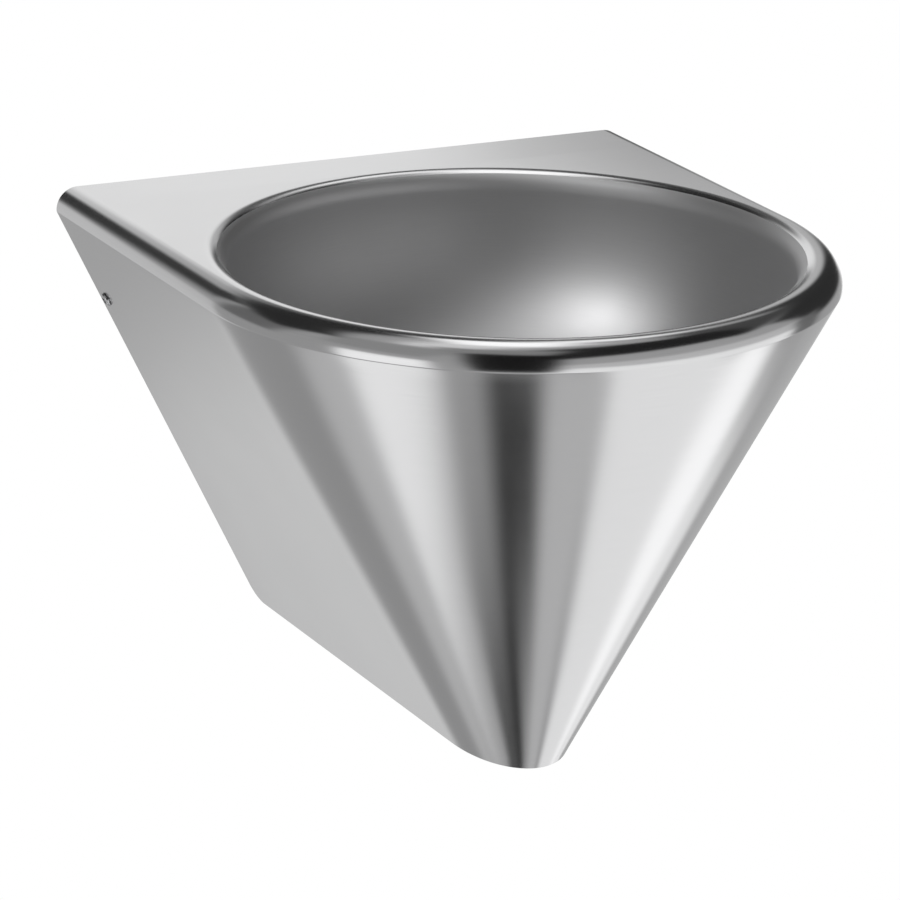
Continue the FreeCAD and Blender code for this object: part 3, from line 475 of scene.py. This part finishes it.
inlet_nut_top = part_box("trap_inlet_nut")[1].z
flange_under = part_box("waste_body")[1].z - TAIL_FLANGE
thread_piece("waste_tail_thread", inlet_nut_top + THREAD_RUNOUT, flange_under - THREAD_RUNOUT, TAIL_RADIUS, TAIL_PITCH,
             TAIL_RIDGE)
SKIN_CONTRAST = 1.8


def rubber(name, colour):
    """Matt moulded rubber with a fine skin."""
    material = bpy.data.materials.new(name)
    material.use_nodes = True
    tree, link = material.node_tree.nodes, material.node_tree.links.new
    shader = tree["Principled BSDF"]
    place = tree.new("ShaderNodeTexCoord")
    skin = tree.new("ShaderNodeTexNoise")
    skin.inputs["Scale"].default_value = 900
    link(place.outputs["Object"], skin.inputs["Vector"])
    tone = tree.new("ShaderNodeMix")
    tone.data_type = "RGBA"
    tone.inputs["A"].default_value = (*colour, 1)
    tone.inputs["B"].default_value = (*[c * SKIN_CONTRAST for c in colour], 1)
    link(skin.outputs["Fac"], tone.inputs["Factor"])
    link(tone.outputs["Result"], shader.inputs["Base Color"])
    spread = tree.new("ShaderNodeMapRange")
    spread.inputs["To Min"].default_value = 0.55
    spread.inputs["To Max"].default_value = 0.8
    link(skin.outputs["Fac"], spread.inputs["Value"])
    link(spread.outputs["Result"], shader.inputs["Roughness"])
    return material


black_rubber = rubber("black_rubber", (0.02, 0.02, 0.02))
for name in nodes:
    if name.endswith(("_gasket", "_seal")):
        finish_node(name, black_rubber)

# Bottle trap and outlet: chromed brass fittings hung from the waste, with a cup that unscrews for cleaning.
# The outlet pipe runs to the wall, and a rosette slides along it to cover the hole there.
CUP_THREAD_RADIUS = 0.025
CUP_PITCH = 0.004
CUP_RIDGE = 0.0002
for name in nodes:
    if name.startswith("trap_") and not name.endswith("_seal") or name == "wall_rosette":
        finish_node(name, chrome)
body_low, seal_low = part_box("trap_body")[0].z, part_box("trap_cup_seal")[0].z
thread_piece("trap_body_thread", body_low + THREAD_RUNOUT, seal_low - THREAD_RUNOUT, CUP_THREAD_RADIUS, CUP_PITCH,
             CUP_RIDGE)

# Studio: a pale floor at washing height, a white surround, and a tent of lit and dark panels for the steel to mirror.
# One soft lamp hangs over the basin, and one narrow lamp reaches into the bowl.
FLOOR_DROP = 0.85
FLOOR_RADIUS = 0.7
FLOOR_STEPS = 96
TENT_RADIUS = 4.0
TENT_GLOW = 0.45
TENT_DROP = 0.1
PANEL_SOFTNESS = 7.0
ROUND_STEPS = 180
HIGH_STEPS = 90
# Each panel: how far round from the wall towards the right, how high, half its width, half its height, its glow.
PANELS = (
    ("back_right_wall", 36, 17, 9, 7, 0.6),
    ("back_screen", 6, 17, 22, 10, 1.04),
    ("back_low_wall", -26, -14, 12, 20, 0.72),
    ("left_wall", -66, 5, 30, 26, 0.42),
    ("left_high_wall", -104, 42, 18, 18, 0.35),
    ("left_back_flag", -53, 24, 15, 18, 0.18),
    ("left_screen", -110, -8, 16, 19, 1.3),
    ("front_right_wall", 145, 28, 46, 12, 0.46),
    ("front_right_low_wall", 145, 8, 46, 10, 0.68),
    ("front_right_screen", 145, -24, 46, 22, 1.15),
    ("right_flag", 68, 18, 26, 19, 0.035),
    ("right_low_flag", 92, -4, 8, 14, 0.18),
    ("right_low_screen", 43, -9, 8, 9, 1.3),
    ("right_top_flag", 88, 48, 24, 12, 0.08),
    ("front_top_flag", 150, 62, 36, 18, 0.02),
    ("back_flag", -18, 51, 38, 14, 0.03),
    ("back_right_flag", 28, 33, 13, 7, 0.12),
    ("back_low_flag", 31, 3, 5, 8, 0.1),
    ("stripe_flag", -20, 23, 9, 14, 0.05),
    ("overhead_softbox", -30, 83, 24, 8, 0.9),
    ("back_softbox", 27, 67, 7, 14, 1.6),
    ("back_low_softbox", 38, 47, 5, 7, 1.4),
    ("camera_flag", -153, 22, 15, 36, 0.01),
    ("camera_top_flag", -145, 68, 14, 10, 0.3),
    ("floor_left_back", -35, -46, 22, 12, 0.38),
    ("floor_left_side", -54, -56, 8, 8, 0.65),
    ("floor_back_card", 1, -38, 8, 9, 0.74),
    ("floor_left_card", -88, -58, 12, 9, 1.22),
    ("floor_right_back", 52, -29, 13, 10, 0.5),
    ("floor_right_card", 110, -56, 34, 13, 1.12),
    ("floor_right_screen", 91, -45, 7, 8, 1.45),
    ("floor_right_front", 172, -68, 8, 9, 0.66),
    ("floor_mat", -155, -68, 6.5, 5, 0.0),
    ("floor_shadow", -120, -76, 8, 4, 0.0),
)
middle = Vector((0, axis_y, deck_z - TENT_DROP))


def aim(azimuth, elevation):
    """The way to a point of the tent, in degrees round from the wall towards the right, and up."""
    a, e = math.radians(azimuth), math.radians(elevation)
    return Vector((math.sin(a) * math.cos(e), math.cos(a) * math.cos(e), math.sin(e)))


def edge(off, half):
    """1 inside a panel, 0 outside it, with a soft edge between."""
    share = min(max((half + PANEL_SOFTNESS / 2 - abs(off)) / PANEL_SOFTNESS, 0), 1)
    return share * share * (3 - 2 * share)


def tent_glow(direction):
    """The glow of the tent in one direction: each panel is laid over those before it."""
    glow = TENT_GLOW
    for _, azimuth, elevation, half_width, half_height, level in PANELS:
        centre, across = aim(azimuth, elevation), aim(azimuth + 90, 0)
        above = across.cross(centre)
        forward = direction.dot(centre)
        if forward <= 0:
            continue
        x = math.degrees(math.atan2(direction.dot(across), forward))
        y = math.degrees(math.atan2(direction.dot(above), forward))
        glow += (level - glow) * edge(x, half_width) * edge(y, half_height)
    return glow


def plain(name, paint):
    """An even matt paint."""
    material = bpy.data.materials.new(name)
    material.use_nodes = True
    shader = material.node_tree.nodes["Principled BSDF"]
    shader.inputs["Base Color"].default_value = (paint, paint, paint, 1)
    shader.inputs["Roughness"].default_value = 1.0
    shader.inputs["Specular IOR Level"].default_value = 0.0
    return material


def stage_object(name, verts, faces, material):
    """A piece of the studio, which is no part of the basin."""
    data = bpy.data.meshes.new(name)
    data.from_pydata(verts, [], faces)
    data.materials.append(material)
    made = bpy.data.objects.new(name, data)
    bpy.context.scene.collection.objects.link(made)
    return made


floor_z = deck_z - FLOOR_DROP
rim_angles = [math.tau * i / FLOOR_STEPS for i in range(FLOOR_STEPS)]
disc = [Vector((FLOOR_RADIUS * math.cos(a), axis_y + FLOOR_RADIUS * math.sin(a), floor_z)) for a in rim_angles]
floor = stage_object("floor", disc, [range(FLOOR_STEPS)], plain("pale_floor", 0.8))
floor.visible_glossy = False
directions = [aim(360 * i / ROUND_STEPS, 180 * j / HIGH_STEPS - 90) for j in range(HIGH_STEPS + 1)
              for i in range(ROUND_STEPS)]
squares = [(j * ROUND_STEPS + i, j * ROUND_STEPS + (i + 1) % ROUND_STEPS,
            (j + 1) * ROUND_STEPS + (i + 1) % ROUND_STEPS, (j + 1) * ROUND_STEPS + i)
           for j in range(HIGH_STEPS) for i in range(ROUND_STEPS)]
tent_cloth = bpy.data.materials.new("tent_cloth")
tent_cloth.use_nodes = True
tree, link = tent_cloth.node_tree.nodes, tent_cloth.node_tree.links.new
tree.clear()
lit = tree.new("ShaderNodeEmission")
level = tree.new("ShaderNodeAttribute")
level.attribute_name = "glow"
put = tree.new("ShaderNodeOutputMaterial")
link(level.outputs["Fac"], lit.inputs["Strength"])
link(lit.outputs[0], put.inputs["Surface"])
tent = stage_object("tent", [middle + d * TENT_RADIUS for d in directions], squares, tent_cloth)
glows = tent.data.attributes.new("glow", "FLOAT", "POINT")
for spot, direction in zip(glows.data, directions):
    spot.value = tent_glow(direction)
tent.visible_camera = False
tent.visible_diffuse = False
tent.visible_shadow = False
tent.visible_transmission = False


def hang(light, place, target):
    """Puts a lamp at a place and turns it towards a target."""
    lamp = bpy.data.objects.new(light.name, light)
    bpy.context.scene.collection.objects.link(lamp)
    lamp.location = place
    lamp.rotation_euler = (target - place).to_track_quat("-Z", "Y").to_euler()
    return lamp


softbox = bpy.data.lights.new("top_softbox", "AREA")
softbox.shape = "RECTANGLE"
softbox.size, softbox.size_y = 1.4, 1.0
softbox.energy = 22
softbox_place = Vector((-0.3, -0.7, 1.7))
top_lamp = hang(softbox, softbox_place, middle)
top_lamp.visible_glossy = False
SNOOT_REACH = 1.5
bowl_spot = Vector((0.072, axis_y + 0.082, deck_z - 0.082))
snoot = bpy.data.lights.new("bowl_snoot", "SPOT")
snoot.energy = 27
snoot.shadow_soft_size = 0.04
snoot.spot_size = math.radians(7.6)
snoot.spot_blend = 1.0
snoot_place = bowl_spot + aim(-82, 59) * SNOOT_REACH
hang(snoot, snoot_place, bowl_spot)

world = bpy.data.worlds.new("white_surroundings")
bpy.context.scene.world = world
world.use_nodes = True
tree, link = world.node_tree.nodes, world.node_tree.links.new
path = tree.new("ShaderNodeLightPath")
seen = tree.new("ShaderNodeMath")
seen.operation = "MAXIMUM"
link(path.outputs["Is Camera Ray"], seen.inputs[0])
link(path.outputs["Is Glossy Ray"], seen.inputs[1])
seen_through = tree.new("ShaderNodeMath")
seen_through.operation = "MAXIMUM"
link(seen.outputs[0], seen_through.inputs[0])
link(path.outputs["Is Transmission Ray"], seen_through.inputs[1])
strength = tree.new("ShaderNodeMapRange")
strength.inputs["To Min"].default_value = 0.5
strength.inputs["To Max"].default_value = 1.0
link(seen_through.outputs[0], strength.inputs["Value"])
tree["Background"].inputs["Color"].default_value = (1, 1, 1, 1)
link(strength.outputs["Result"], tree["Background"].inputs["Strength"])

# Camera: in front of the basin, to its left and above it, with a long lens.
# Its place and aim were fitted to the outline of the basin in the photograph.
CAMERA_PLACE = Vector((-0.7749, -1.6450, deck_z + 0.4703))
FORWARD = Vector((0.43016, 0.83656, -0.33931))
RIGHT = Vector((0.89226, -0.45112, 0.01891))
LENS = 124.86
camera_data = bpy.data.cameras.new("camera")
camera_data.lens = LENS
camera_data.sensor_width = 36
camera = bpy.data.objects.new("camera", camera_data)
bpy.context.scene.collection.objects.link(camera)
up = RIGHT.cross(FORWARD)
camera.matrix_world = Matrix.Translation(CAMERA_PLACE) @ Matrix((RIGHT, up, -FORWARD)).transposed().to_4x4()
bpy.context.scene.camera = camera
bpy.context.scene.view_settings.view_transform = "Standard"
